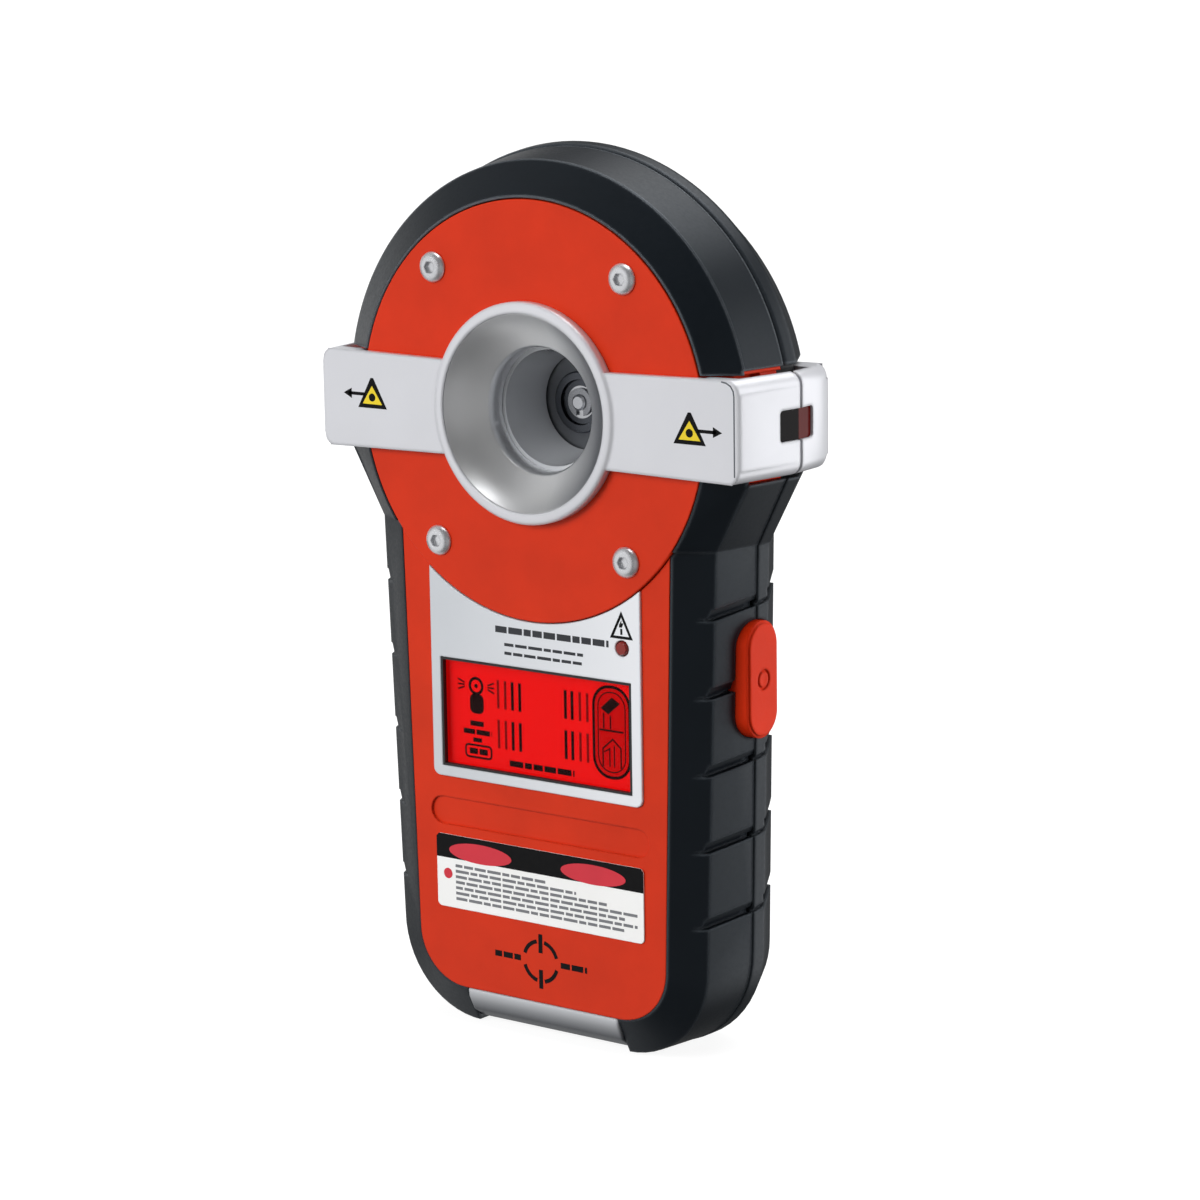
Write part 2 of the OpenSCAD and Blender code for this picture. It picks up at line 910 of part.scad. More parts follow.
module bottom_trim() {
    color([0.72, 0.73, 0.75])
        translate([-17.25, 0, 0])
            rotate([90, 0, 90])
                linear_extrude(34.5)
                    polygon([[panel_y, -109.8], [panel_y + 0.2, -111.4], [panel_y + 1.6, -114.2],
                        [front_y + 5, -116.2], [front_end, -116.6],
                        [front_end, -115.5], [flank_y - 0.1, -115.5], [flank_y - 0.1, -114.3],
                        [core_y - gap, -114.3], [core_y - gap, -109.8]]);
}

// ---------------------------------------------------------------- side buttons and switches

// A button with its face at x = face.
module side_button(face) {
    difference() {
        union() {
            button_slot(33.5, face - 0.4);
            button_slot(face - 0.5, face, -0.5);
            // lips at both ends that keep the button in the case
            box([32.6, button_y - 2.5, button_z - button_h / 2 - 1],
                [33.6, button_y + 2.5, button_z + button_h / 2 + 1]);
        }
        button_slot(30, face - 1.6, -1.6);
        // ring-shaped groove around the middle of the face
        difference() {
            rod_x(button_y, button_z, 1.9, face - 0.4, face + 1);
            rod_x(button_y, button_z, 1.4, 30, face + 2);
        }
        // shallow dish in the middle of the face
        translate([face + 4.55, button_y, button_z])
            sphere(r = 4.7);
    }
    rod_x(button_y, button_z, 1.6, 34.7, face - 1.4);
}

module stud_button() {
    color([0.84, 0.24, 0.12])
        side_button(flank_x + stud_proud);
}

module laser_button() {
    color([0.84, 0.24, 0.12])
        mirror([1, 0, 0])
            side_button(flank_x + laser_proud);
}

module switch_plunger() {
    rod_x(button_y, button_z, 1.7, 32, 34.65);
}

module stud_switch_plunger() {
    color([0.85, 0.80, 0.65])
        switch_plunger();
}

module laser_switch_plunger() {
    color([0.85, 0.80, 0.65])
        mirror([1, 0, 0])
            switch_plunger();
}

module side_switches() {
    color([0.18, 0.18, 0.19])
        both_sides()
            difference() {
                box([30.05, button_y - 3, button_z - 3], [32.05 + 0.8, button_y + 3, button_z + 3]);
                rod_x(button_y, button_z, 1.75, 31, 40);
            }
}

module switch_boards() {
    color([0.10, 0.38, 0.20])
        both_sides()
            box([28.4, -18.5, -54], [30, -6, -39]);
}

// ---------------------------------------------------------------- main board and sensing

module main_board() {
    color([0.10, 0.38, 0.20])
        difference() {
            box([-26, pcb_front, -96.6], [26, pcb_rear, -37]);
            for (p = pcb_screws_at)
                rod_y(p[0], p[1], 1.1, -30, 0);
        }
}

module board_screws() {
    color([0.55, 0.56, 0.58])
        for (p = pcb_screws_at)
            translate([p[0], 0, p[1]])
                turned()
                    polygon([[0, panel_y + 2], [0.8, panel_y + 2.2], [0.8, pcb_rear + gap],
                        [1.8, pcb_rear + gap], [1.7, pcb_rear + 0.9], [0, pcb_rear + 1.3]]);
}

// A flat chip with a row of legs on both sides.
module chip(x, z, w, h, legs) {
    box([x - w / 2, pcb_rear + 0.2, z - h / 2], [x + w / 2, pcb_rear + 1.8, z + h / 2]);
    for (i = [0:legs - 1])
        for (s = [-1, 1])
            translate([x + s * (w / 2 + 0.5), pcb_rear + 0.6, z - h / 2 + (i + 0.5) * h / legs])
                cube([1.2, 1.0, 0.35], center = true);
}

module control_chip() {
    color([0.12, 0.12, 0.13])
        chip(0, -60, 10, 14, 10);
}

module driver_chip() {
    color([0.12, 0.12, 0.13])
        chip(-17, -44, 4, 5, 4);
}

module sounder() {
    color([0.15, 0.15, 0.16])
        difference() {
            rod_y(16, -45, 5, pcb_rear + gap, pcb_rear + 4);
            rod_y(16, -45, 0.8, pcb_rear + 2, 0);
        }
}

module sensor_board() {
    color([0.10, 0.38, 0.20])
        box([-16.8, -6.9, -109.9], [16.8, -5.3, -98.7]);
}

module sensor_plates() {
    color([0.75, 0.42, 0.22])
        both_sides()
            box([1, -5.25, -109.2], [12.5, -4.9, -99.4]);
}

// ---------------------------------------------------------------- pendulum

module spindle() {
    color([0.70, 0.71, 0.74])
        turned()
            polygon([[0, -4.95], [spindle_r - 0.02, -4.95], [spindle_r - 0.02, -6.05], [4.5, -6.05],
                [4.5, -6.55], [spindle_r - 0.03, -6.6], [spindle_r - 0.03, -11],
                [1.1, -11.3], [0, -11.3]]);
}

module spindle_clip() {
    color([0.35, 0.36, 0.38])
        difference() {
            rod_y(0, 0, 2.6, -10.75, -10.35);
            rod_y(0, 0, spindle_r + 0.01, -12, -9);
            box([-0.8, -12, -4], [0.8, -9, 0]);
        }
}

module pendulum_hub() {
    color([0.62, 0.63, 0.66])
        turned()
            polygon([[bearing_r + 0.03, -10.1], [4, -10.1], [4.2, hub_front], [5.4, hub_front],
                [5.7, hub_front + 0.3], [5.7, -7], [bearing_r + 0.03, -7]]);
}

module pendulum_bearings() {
    color([0.75, 0.76, 0.79])
        for (y = [-8.6, -10.2])
            turned()
                polygon([[spindle_r + 0.03, y], [bearing_r, y], [bearing_r, y + 1.5],
                    [spindle_r + 0.03, y + 1.5]]);
}

// The frame: a cross-arm for the two lasers and a leg down to the weight, behind the window.
module pendulum_frame() {
    color([0.58, 0.60, 0.63])
        difference() {
            union() {
                slab(plate_front, plate_rear)
                    union() {
                        circle(r = 9.5);
                        polygon([[-37, -4], [37, -4], [37, 4], [-37, 4]]);
                        polygon([[-3, -33], [3, -33], [3, 0], [-3, 0]]);
                        polygon([[-9, -33], [9, -33], [9, -19], [-9, -19]]);
                    }
                both_sides() {
                    box([27, laser_y - 1, -5.2], [36, plate_rear, 5.2]);
                    rod_x(laser_y, 0, 5.2, 27, 36);
                }
            }
            rod_y(0, 0, 5.73, -20, 0);
            rod_x(laser_y, 0, laser_r + 0.03, -50, 50);
            for (x = [-6, 6])
                rod_y(x, -26, 1.05, -10, 0);
        }
}

module laser_module() {
    difference() {
        union() {
            rod_x(laser_y, 0, laser_r, 25, 38.5);
            rod_x(laser_y, 0, 3.2, 23.5, 25.5);
        }
        rod_x(laser_y, 0, 2.6, 37, 40);
    }
}

module laser_module_right() {
    color([0.78, 0.62, 0.30])
        laser_module();
}

module laser_module_left() {
    color([0.78, 0.62, 0.30])
        mirror([1, 0, 0])
            laser_module();
}

module line_lens() {
    rod_x(laser_y, 0, 2.57, 37.05, 39.6);
}

module line_lens_right() {
    color([0.85, 0.90, 0.95, 0.4])
        line_lens();
}

module line_lens_left() {
    color([0.85, 0.90, 0.95, 0.4])
        mirror([1, 0, 0])
            line_lens();
}

module pendulum_weight() {
    color([0.78, 0.62, 0.30])
        difference() {
            box([-12, -18.5, -32], [12, plate_front - gap, -19]);
            for (x = [-6, 6])
                rod_y(x, -26, 1.05, -14, 0);
        }
}

module weight_screws() {
    color([0.55, 0.56, 0.58])
        for (x = [-6, 6])
            translate([x, 0, -26])
                turned()
                    polygon([[0, -12.6], [1, -12.6], [1, -6.85], [1.9, -6.85], [1.9, -6], [0, -5.8]]);
}

module damping_plate() {
    color([0.75, 0.42, 0.22])
        box([-9, plate_front - 1.3, -43], [9, plate_front - gap - 0.05, -32.05]);
}

module magnet_yoke() {
    color([0.50, 0.51, 0.54])
        difference() {
            union() {
                box([-15, -6.5, -44], [15, -5.25, -34]);
                box([-15, -15, -45.2], [15, -5.25, -44]);
                box([-15, -15, -45], [15, -13.8, -34]);
            }
            for (x = yoke_screws_at)
                translate([x, 0, yoke_screw_z])
                    turned()
                        polygon([[0, -6.6], [1.7, -6.6], [1.6, -6.5], [0.85, -5.75], [0.85, -5], [0, -5]]);
        }
}

// Countersunk screws, heads towards the front.
module yoke_screws() {
    color([0.55, 0.56, 0.58])
        for (x = yoke_screws_at)
            translate([x, 0, yoke_screw_z])
                turned()
                    polygon([[0, -6.45], [1.5, -6.45], [0.8, -5.75], [0.8, -2.2], [0, -1.95]]);
}

module damping_magnets() {
    color([0.72, 0.73, 0.76])
        for (x = [-5, 5]) {
            rod_y(x, -39, 4, -13.75, -10.6);
            rod_y(x, -39, 4, -8.1, -6.55);
        }
}

// ---------------------------------------------------------------- batteries and door

module battery_door() {
    color([0.13, 0.14, 0.15])
        union() {
            difference() {
                box([-door_w, -2.2, door_axis_z], [door_w, -0.1, door_top]);
                // finger recess and grip lines near the latch edge
                for (i = [0:3])
                    box([-6, -0.6, -52.4 - 1.6 * i], [6, 1, -51.6 - 1.6 * i]);
                translate([0, 5.4, -49.5])
                    sphere(r = 6.4);
            }
            rod_x(door_axis_y, door_axis_z, barrel_r, -door_w, door_w);
            rod_x(door_axis_y, door_axis_z, door_pin_r, -19.9, 19.9);
        }
}

// One cell along Z with its nub at the top when up is 1, at the bottom when up is -1.
module cell(x, up) {
    z0 = up > 0 ? contact_top - gap - cell_nub - cell_body : contact_low + gap + cell_nub;
    translate([x, cell_y, z0])
        cylinder(h = cell_body, r = cell_r);
    translate([x, cell_y, up > 0 ? z0 + cell_body - 0.1 : z0 - cell_nub])
        cylinder(h = cell_nub + 0.1, r = 1.9);
}

module batteries() {
    color([0.20, 0.22, 0.26])
        for (i = [-1:1])
            cell(i * cell_pitch, i == 0 ? -1 : 1);
}

// A conical coil of round wire, narrowing upwards.
spring_turns = 3;
spring_steps = 20;
wire_r = 0.25;
function coil_point(i, j, h) =
    let (t = i / (spring_turns * spring_steps), a = 360 * i / spring_steps, b = 60 * j,
        r = 3.6 - 1.8 * t + wire_r * cos(b))
    [r * cos(a), r * sin(a), wire_r + (h - 2 * wire_r) * t + wire_r * sin(b)];

module coil(h) {
    n = spring_turns * spring_steps;
    points = [for (i = [0:n]) for (j = [0:5]) coil_point(i, j, h)];
    sides = [for (i = [0:n - 1]) for (j = [0:5])
        [i * 6 + j, i * 6 + (j + 1) % 6, (i + 1) * 6 + (j + 1) % 6, (i + 1) * 6 + j]];
    ends = [[5, 4, 3, 2, 1, 0], [for (j = [0:5]) n * 6 + j]];
    polyhedron(points, concat(sides, ends));
}

module battery_springs() {
    h = contact_top - contact_low - cell_body - cell_nub - 3 * gap;
    color([0.80, 0.81, 0.84])
        for (i = [-1:1])
            if (i == 0)
                translate([0, cell_y, contact_top - gap / 2])
                    mirror([0, 0, 1])
                        coil(h);
            else
                translate([i * cell_pitch, cell_y, contact_low + gap / 2])
                    coil(h);
}

module battery_contacts() {
    color([0.80, 0.81, 0.84]) {
        box([-16.8, -12.4, contact_top], [-7, -4, contact_top + contact_t]);
        box([-5, -12.4, contact_top], [16.8, -4, contact_top + contact_t]);
        box([-16.8, -12.4, contact_low - contact_t], [5, -4, contact_low]);
        box([7, -12.4, contact_low - contact_t], [16.8, -4, contact_low]);
    }
}

// ---------------------------------------------------------------- nodes

front_shell();
rear_shell();
face_disc();
face_screws();
arch_grip_front();
arch_grip_rear();
side_grip_front_right();
side_grip_front_left();
side_grip_rear_right();
side_grip_rear_left();
band_front();
band_rear();
bullseye_dish();
bullseye_window();
laser_window_right();
laser_window_left();
display_plate();
lcd_gasket();
lcd_lens();
lcd_glass();
lcd_connectors();
lcd_backlight();
warning_led();
info_label();
bottom_trim();
stud_button();
laser_button();
stud_switch_plunger();
laser_switch_plunger();
side_switches();
switch_boards();
main_board();
board_screws();
control_chip();
driver_chip();
sounder();
sensor_board();
sensor_plates();
spindle();
spindle_clip();
pendulum_frame();
pendulum_hub();
pendulum_bearings();
pendulum_weight();
weight_screws();
damping_plate();
damping_magnets();
magnet_yoke();
yoke_screws();
laser_module_right();
laser_module_left();
line_lens_right();
line_lens_left();
housing_screws();
battery_door();
batteries();
battery_springs();
battery_contacts();
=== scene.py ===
"""Looks of the stud finder: materials, printed marks, floor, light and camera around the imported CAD."""

import json
import math

import bmesh
import bpy
from mathutils import Matrix, Vector


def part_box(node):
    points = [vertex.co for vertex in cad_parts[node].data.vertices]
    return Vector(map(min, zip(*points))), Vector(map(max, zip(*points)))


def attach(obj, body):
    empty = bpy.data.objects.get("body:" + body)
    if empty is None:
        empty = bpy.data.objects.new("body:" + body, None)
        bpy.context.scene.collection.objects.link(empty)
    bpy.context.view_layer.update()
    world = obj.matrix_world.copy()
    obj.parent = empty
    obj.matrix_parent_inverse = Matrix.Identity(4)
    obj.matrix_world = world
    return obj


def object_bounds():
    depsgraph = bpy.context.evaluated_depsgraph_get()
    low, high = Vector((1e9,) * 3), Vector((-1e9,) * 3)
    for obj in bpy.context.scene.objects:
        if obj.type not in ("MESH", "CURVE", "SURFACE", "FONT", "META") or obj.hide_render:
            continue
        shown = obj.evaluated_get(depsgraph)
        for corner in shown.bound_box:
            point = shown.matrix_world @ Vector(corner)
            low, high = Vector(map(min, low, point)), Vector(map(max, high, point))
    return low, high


MM = 0.001

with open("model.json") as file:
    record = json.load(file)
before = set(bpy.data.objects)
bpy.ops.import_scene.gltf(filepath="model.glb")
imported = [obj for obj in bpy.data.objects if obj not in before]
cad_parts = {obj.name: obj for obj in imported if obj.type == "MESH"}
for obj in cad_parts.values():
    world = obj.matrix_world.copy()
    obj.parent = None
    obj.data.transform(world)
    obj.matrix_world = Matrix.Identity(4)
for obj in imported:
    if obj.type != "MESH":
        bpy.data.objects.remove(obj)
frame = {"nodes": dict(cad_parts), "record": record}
cad_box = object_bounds()
nodes = frame["nodes"]
scene = bpy.context.scene


def front(node):
    """The depth of a CAD node's front face at rest, in millimetres."""
    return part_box(node)[0].y / MM


# Depths of the front surfaces, read from the CAD so that the marks always lie on them.
BAND_PROUD = 1.7
LABEL_PROUD = 0.3
ARM_Y = front("face_disc") - BAND_PROUD
PLATE_Y = front("display_plate")
GLASS_Y = front("lcd_glass")
LABEL_Y = front("info_label")
PANEL_Y = LABEL_Y + LABEL_PROUD


# ---------------------------------------------------------------- node trees

BEVEL_SAMPLES = 4
WHITE = (1, 1, 1, 1)


def linear(rgb):
    """sRGB values from 0 to 255 as linear ones."""
    out = []
    for v in rgb:
        c = v / 255
        out.append(c / 12.92 if c <= 0.04045 else ((c + 0.055) / 1.055) ** 2.4)
    return (*out, 1.0)


class Nodes:
    """A node tree under construction."""

    def __init__(self, tree):
        self.tree = tree

    def add(self, kind, **settings):
        node = self.tree.nodes.new(kind)
        for key, value in settings.items():
            setattr(node, key, value)
        return node

    def link(self, a, b):
        self.tree.links.new(a, b)

    def put(self, socket, value):
        """Links another node's output to a socket, or sets a plain value."""
        if isinstance(value, bpy.types.NodeSocket):
            self.link(value, socket)
        else:
            socket.default_value = value

    def ramp(self, value, low, high, out_low, out_high, **settings):
        node = self.add("ShaderNodeMapRange", **settings)
        self.put(node.inputs["Value"], value)
        node.inputs["From Min"].default_value = low
        node.inputs["From Max"].default_value = high
        node.inputs["To Min"].default_value = out_low
        node.inputs["To Max"].default_value = out_high
        return node.outputs["Result"]

    def blend_shaders(self, fac, a, b):
        """Shader a where fac is 0 and shader b where it is 1."""
        node = self.add("ShaderNodeMixShader")
        self.put(node.inputs["Fac"], fac)
        self.link(a, node.inputs[1])
        self.link(b, node.inputs[2])
        return node.outputs["Shader"]

    def camera_ray(self):
        return self.add("ShaderNodeLightPath").outputs["Is Camera Ray"]


class Shader(Nodes):
    """A node material under construction."""

    def __init__(self, name):
        self.material = bpy.data.materials.new(name)
        self.material.use_nodes = True
        super().__init__(self.material.node_tree)
        self.tree.nodes.clear()
        self.surface = self.add("ShaderNodeOutputMaterial").inputs["Surface"]
        self.coords = self.add("ShaderNodeTexCoord").outputs["Object"]

    def noise(self, scale, detail=3.0, roughness=0.55, stretch=None):
        node = self.add("ShaderNodeTexNoise")
        node.inputs["Scale"].default_value = scale
        node.inputs["Detail"].default_value = detail
        node.inputs["Roughness"].default_value = roughness
        vector = self.coords
        if stretch:
            mapping = self.add("ShaderNodeMapping")
            mapping.inputs["Scale"].default_value = stretch
            self.link(vector, mapping.inputs["Vector"])
            vector = mapping.outputs["Vector"]
        self.link(vector, node.inputs["Vector"])
        return node.outputs["Fac"]

    def mix(self, fac, a, b):
        node = self.add("ShaderNodeMix", data_type="RGBA")
        self.put(node.inputs["Factor"], fac)
        self.put(node.inputs["A"], a)
        self.put(node.inputs["B"], b)
        return node.outputs["Result"]

    def rounded_normal(self, radius):
        """The surface normal as it would be with every edge rounded to a radius in metres."""
        bevel = self.add("ShaderNodeBevel", samples=BEVEL_SAMPLES)
        bevel.inputs["Radius"].default_value = radius
        return bevel.outputs["Normal"]

    def edges(self, radius, flat, sharp):
        """0 where the rounded normal leans away by a cosine of flat or more, 1 where by sharp or less."""
        dot = self.add("ShaderNodeVectorMath", operation="DOT_PRODUCT")
        self.link(self.rounded_normal(radius), dot.inputs[0])
        self.link(self.add("ShaderNodeNewGeometry").outputs["Normal"], dot.inputs[1])
        return self.ramp(dot.outputs["Value"], flat, sharp, 0.0, 1.0)

    def bump(self, height, strength, distance, rounding=None):
        node = self.add("ShaderNodeBump")
        node.inputs["Strength"].default_value = strength
        node.inputs["Distance"].default_value = distance
        self.link(height, node.inputs["Height"])
        if rounding:
            self.link(self.rounded_normal(rounding), node.inputs["Normal"])
        return node.outputs["Normal"]


# ---------------------------------------------------------------- materials

MOTTLE_SCALE = 90.0
GRAIN_DEPTH = 0.02 * MM
COAT_ROUGHNESS = 0.15
# the painted highlight on edges: the radius of its edge mask, and the cosines where it is none and where
# it is full
HIGHLIGHT_RADIUS = 0.7 * MM
HIGHLIGHT_FLAT, HIGHLIGHT_SHARP = 0.997, 0.90
SCUFF_SCALE = 700.0
SCUFF_STRENGTH = 0.05
SCUFF_DEPTH = 0.01 * MM
SCUFF_SWING = 0.3


def finish_material(name, color, rough, metal=0.0, coat=0.0, specular=0.5, tint=(255, 255, 255),
                    grain=1500.0, grain_strength=0.25, stretch=None, mottle=0.06, rough_swing=0.06,
                    rounding=None, edge_highlight=None, painted_light=None, emission=None, emission_strength=0.0):
    """One solid finish: base colour with slight mottling, uneven roughness, surface grain and painted
    highlights on its edges.

    rounding is the radius in metres to which edges are shaded, and wear the colour of the painted
    highlight that lightens sharp edges and ridges. shade names an axis, two places along it in
    millimetres, and the colour the base turns to
    between them: painted light and shading, with the part lighter or darker along that axis as the light
    falls on it."""
    s = Shader(name)
    base = linear(color)[:3]
    broad = s.noise(MOTTLE_SCALE, detail=4.0)
    fine = s.noise(grain, detail=2.0, roughness=0.6, stretch=stretch)
    dark = (*(c * (1 - mottle) for c in base), 1.0)
    light = (*(min(1.0, c * (1 + mottle)) for c in base), 1.0)
    tone = s.mix(s.ramp(broad, 0.3, 0.7, 0.0, 1.0), dark, light)
    # painted light and shading: the base turns lighter or darker along one axis, as the light falls on the
    # part
    if painted_light:
        axis, low, high, other = painted_light
        split = s.add("ShaderNodeSeparateXYZ")
        s.link(s.coords, split.inputs["Vector"])
        tone = s.mix(s.ramp(split.outputs[axis], low * MM, high * MM, 0.0, 1.0), tone, linear(other))
    # a painted highlight that lightens the sharp edges and ridges
    if edge_highlight:
        tone = s.mix(s.edges(HIGHLIGHT_RADIUS, HIGHLIGHT_FLAT, HIGHLIGHT_SHARP), tone, linear(edge_highlight))
    shader = s.add("ShaderNodeBsdfPrincipled")
    s.put(shader.inputs["Base Color"], tone)
    s.put(shader.inputs["Metallic"], metal)
    s.put(shader.inputs["Roughness"], s.ramp(fine, 0.25, 0.75, rough - rough_swing, rough + rough_swing))
    s.put(shader.inputs["Specular IOR Level"], specular)
    s.put(shader.inputs["Specular Tint"], linear(tint))
    s.put(shader.inputs["Coat Weight"], coat)
    s.put(shader.inputs["Coat Roughness"], COAT_ROUGHNESS)
    if emission:
        s.put(shader.inputs["Emission Color"], linear(emission))
        s.put(shader.inputs["Emission Strength"], emission_strength)
    s.link(s.bump(fine, grain_strength, GRAIN_DEPTH, rounding), shader.inputs["Normal"])
    s.link(shader.outputs["BSDF"], s.surface)
    return s.material


def clear_material(name, tint, ior, rough, haze=0.0, body=(200, 200, 200), thin=False):
    """Clear or tinted plastic: mostly see-through, with a glossy skin and fine scuffs.

    haze is the share of a plain body colour in it. On a thin sheet only the side that faces the eye
    reflects, so that the sheet stays clear at a low angle."""
    s = Shader(name)
    scuffs = s.noise(SCUFF_SCALE)
    through = s.add("ShaderNodeBsdfTransparent")
    s.put(through.inputs["Color"], linear(tint))
    skin = s.add("ShaderNodeBsdfGlossy")
    skin_rough = s.ramp(scuffs, 0.3, 0.7, rough * (1 - SCUFF_SWING), rough * (1 + SCUFF_SWING))
    s.put(skin.inputs["Roughness"], skin_rough)
    s.link(s.bump(scuffs, SCUFF_STRENGTH, SCUFF_DEPTH), skin.inputs["Normal"])
    solid = s.add("ShaderNodeBsdfPrincipled")
    s.put(solid.inputs["Base Color"], linear(body))
    s.put(solid.inputs["Roughness"], rough)
    facing = s.add("ShaderNodeFresnel")
    s.put(facing.inputs["IOR"], ior)
    mirror = facing.outputs["Fac"]
    if thin:
        front = s.add("ShaderNodeMath", operation="SUBTRACT", use_clamp=True)
        s.link(mirror, front.inputs[0])
        s.link(s.add("ShaderNodeNewGeometry").outputs["Backfacing"], front.inputs[1])
        mirror = front.outputs["Value"]
    inner = s.blend_shaders(haze, through.outputs["BSDF"], solid.outputs["BSDF"])
    s.link(s.blend_shaders(mirror, inner, skin.outputs["BSDF"]), s.surface)
    return s.material


ORANGE = (212, 50, 16)
RUBBER = dict(color=(10, 15, 20), rough=0.38, specular=0.38, tint=(232, 243, 255), mottle=0.12,
              grain=1600.0, grain_strength=0.35, rounding=0.9 * MM)

# One look for each opaque material slot of the record.
FINISHES = {
    # the case
    "orange_housing": dict(color=ORANGE, rough=0.42, specular=0.2, grain=2600.0, rounding=0.4 * MM),
    "orange_disc": dict(color=ORANGE, rough=0.40, specular=0.2, grain=2600.0, rounding=0.3 * MM),
    "orange_button": dict(color=(210, 46, 12), rough=0.48, specular=0.12, grain=2200.0,
                          rounding=0.8 * MM),
    "black_housing": dict(color=(36, 38, 41), rough=0.55, grain=1800.0, grain_strength=0.5,
                          rounding=0.4 * MM),
    # painted highlight: a lighter line along the edges of the grips
    "grip_rubber": dict(RUBBER, edge_highlight=(58, 63, 68)),
    "screw_steel": dict(color=(226, 227, 231), rough=0.28, metal=0.8, grain=900.0, grain_strength=0.08,
                        rough_swing=0.03, rounding=0.3 * MM),
    "silver_band": dict(color=(222, 223, 228), rough=0.30, metal=0.38, grain=3000.0,
                        grain_strength=0.03, mottle=0.015, rough_swing=0.015, rounding=1.0 * MM),
    # painted shading: the bright dish turns darker towards its right-hand side, where less light reaches
    # it
    "satin_dish": dict(color=(250, 251, 253), painted_light=("X", 4.0, 15.0, (158, 160, 165)), rough=0.40,
                       metal=0.95, grain=4200.0, grain_strength=0.12, mottle=0.03, rough_swing=0.03),
    # painted light: the plate turns lighter towards its right-hand side, where more light falls on it
    "silver_plate": dict(color=(214, 218, 223), painted_light=("X", -20.0, 22.0, (246, 248, 252)), rough=0.34,
                         metal=0.4, grain=3000.0, grain_strength=0.05, mottle=0.02, rough_swing=0.03,
                         rounding=0.4 * MM),
    # painted light and shading: the trim is dark along its bottom and light towards its top, as the light
    # falls from above
    "silver_trim": dict(color=(84, 87, 92), painted_light=("Z", -114.0, -110.0, (214, 216, 220)), rough=0.36,
                        metal=0.45, grain=3000.0, grain_strength=0.05, rounding=0.7 * MM),
    "label_white": dict(color=(254, 254, 252), rough=0.40, mottle=0.02, rounding=0.2 * MM),
    # the display, the lamp and the windows of the laser
    "display_glass": dict(color=(198, 16, 22), rough=0.4, specular=0.1, grain=400.0, grain_strength=0.0,
                          mottle=0.03, emission=(255, 20, 24), emission_strength=0.30),
    "connector_rubber": dict(color=(214, 130, 160), rough=0.6),
    "backlight_plastic": dict(color=(236, 236, 226), rough=0.5),
    "led_red": dict(color=(132, 26, 16), rough=0.18, coat=0.2),
    # painted shading: the window's front half is nearly black like its shadowed inside, the rear half dark
    # red where light shows through
    "red_window": dict(color=(8, 4, 5), painted_light=("Y", -12.2, -11.8, (84, 9, 6)), rough=0.15,
                       specular=0.12, grain=700.0, grain_strength=0.03),
    # the boards and the cells
    "switch_plunger": dict(color=(224, 210, 170), rough=0.5),
    "black_component": dict(color=(34, 34, 36), rough=0.5),
    "board_green": dict(color=(26, 96, 54), rough=0.38, grain=700.0, mottle=0.12),
    "screw_zinc": dict(color=(150, 152, 156), rough=0.32, metal=1.0, rounding=0.2 * MM),
    "copper_foil": dict(color=(196, 116, 70), rough=0.34, metal=1.0),
    "battery_jacket": dict(color=(52, 58, 72), rough=0.28, metal=0.3),
    "contact_nickel": dict(color=(200, 202, 206), rough=0.25, metal=1.0),
    "spring_steel": dict(color=(150, 152, 157), rough=0.28, metal=1.0),
    # the pendulum
    "spindle_steel": dict(color=(190, 192, 197), rough=0.18, metal=1.0),
    "bearing_steel": dict(color=(196, 198, 202), rough=0.15, metal=1.0),
    "cast_frame": dict(color=(120, 123, 128), rough=0.45, metal=0.9, grain=1200.0, grain_strength=0.5),
    "turned_aluminium": dict(color=(84, 87, 93), rough=0.26, metal=1.0, stretch=(0.1, 3.0, 0.1)),
    "brass_weight": dict(color=(200, 164, 92), rough=0.32, metal=1.0),
    "brass_barrel": dict(color=(204, 168, 96), rough=0.26, metal=1.0),
    "nickel_magnet": dict(color=(188, 190, 194), rough=0.18, metal=1.0),
    "yoke_steel": dict(color=(130, 132, 137), rough=0.38, metal=1.0),
}
# The ridge of the arch catches more light than the edges of the grips, so its painted highlight is
# brighter.
ARCH_RUBBER = dict(RUBBER, edge_highlight=(118, 124, 130))

# The clear slots of the record.
CLEAR_FINISHES = {
    "clear_window": dict(tint=(232, 236, 240), ior=1.9, rough=0.16, haze=0.8, body=(226, 229, 234)),
    "red_lens": dict(tint=(255, 220, 216), ior=1.2, rough=0.05, thin=True),
    "lens_glass": dict(tint=(226, 232, 240), ior=1.5, rough=0.03, thin=True),
}

# The inks of the printed marks, of the painted shadow line on the band, and the dark and lit parts of the
# display.
INK_GRAIN = 900.0
INKS = {
    "ink_black": dict(color=(9, 9, 11), rough=0.5, specular=0.15),
    "ink_dark": dict(color=(58, 60, 64), rough=0.5, specular=0.2),
    # painted shadow along the rounded right-hand end of the band
    "ink_corner_shadow": dict(color=(96, 99, 106), rough=0.5, specular=0.2),
    "ink_grey": dict(color=(120, 122, 126), rough=0.5),
    "ink_yellow": dict(color=(236, 208, 30), rough=0.42),
    "ink_red": dict(color=(214, 40, 58), rough=0.42),
    "lcd_dark": dict(color=(10, 0, 3), rough=0.5, specular=0.1),
    "lcd_dim": dict(color=(120, 8, 14), rough=0.5, specular=0.1),
    "lcd_field": dict(color=(196, 12, 20), rough=0.5, specular=0.1,
                      emission=(230, 14, 20), emission_strength=0.2),
}

MATERIALS = {slot: finish_material(slot, **look) for slot, look in FINISHES.items()}
MATERIALS["arch_rubber"] = finish_material("arch_rubber", **ARCH_RUBBER)
for slot, look in CLEAR_FINISHES.items():
    MATERIALS[slot] = clear_material(slot, **look)
for ink, look in INKS.items():
    MATERIALS[ink] = finish_material(ink, grain=INK_GRAIN, **look)


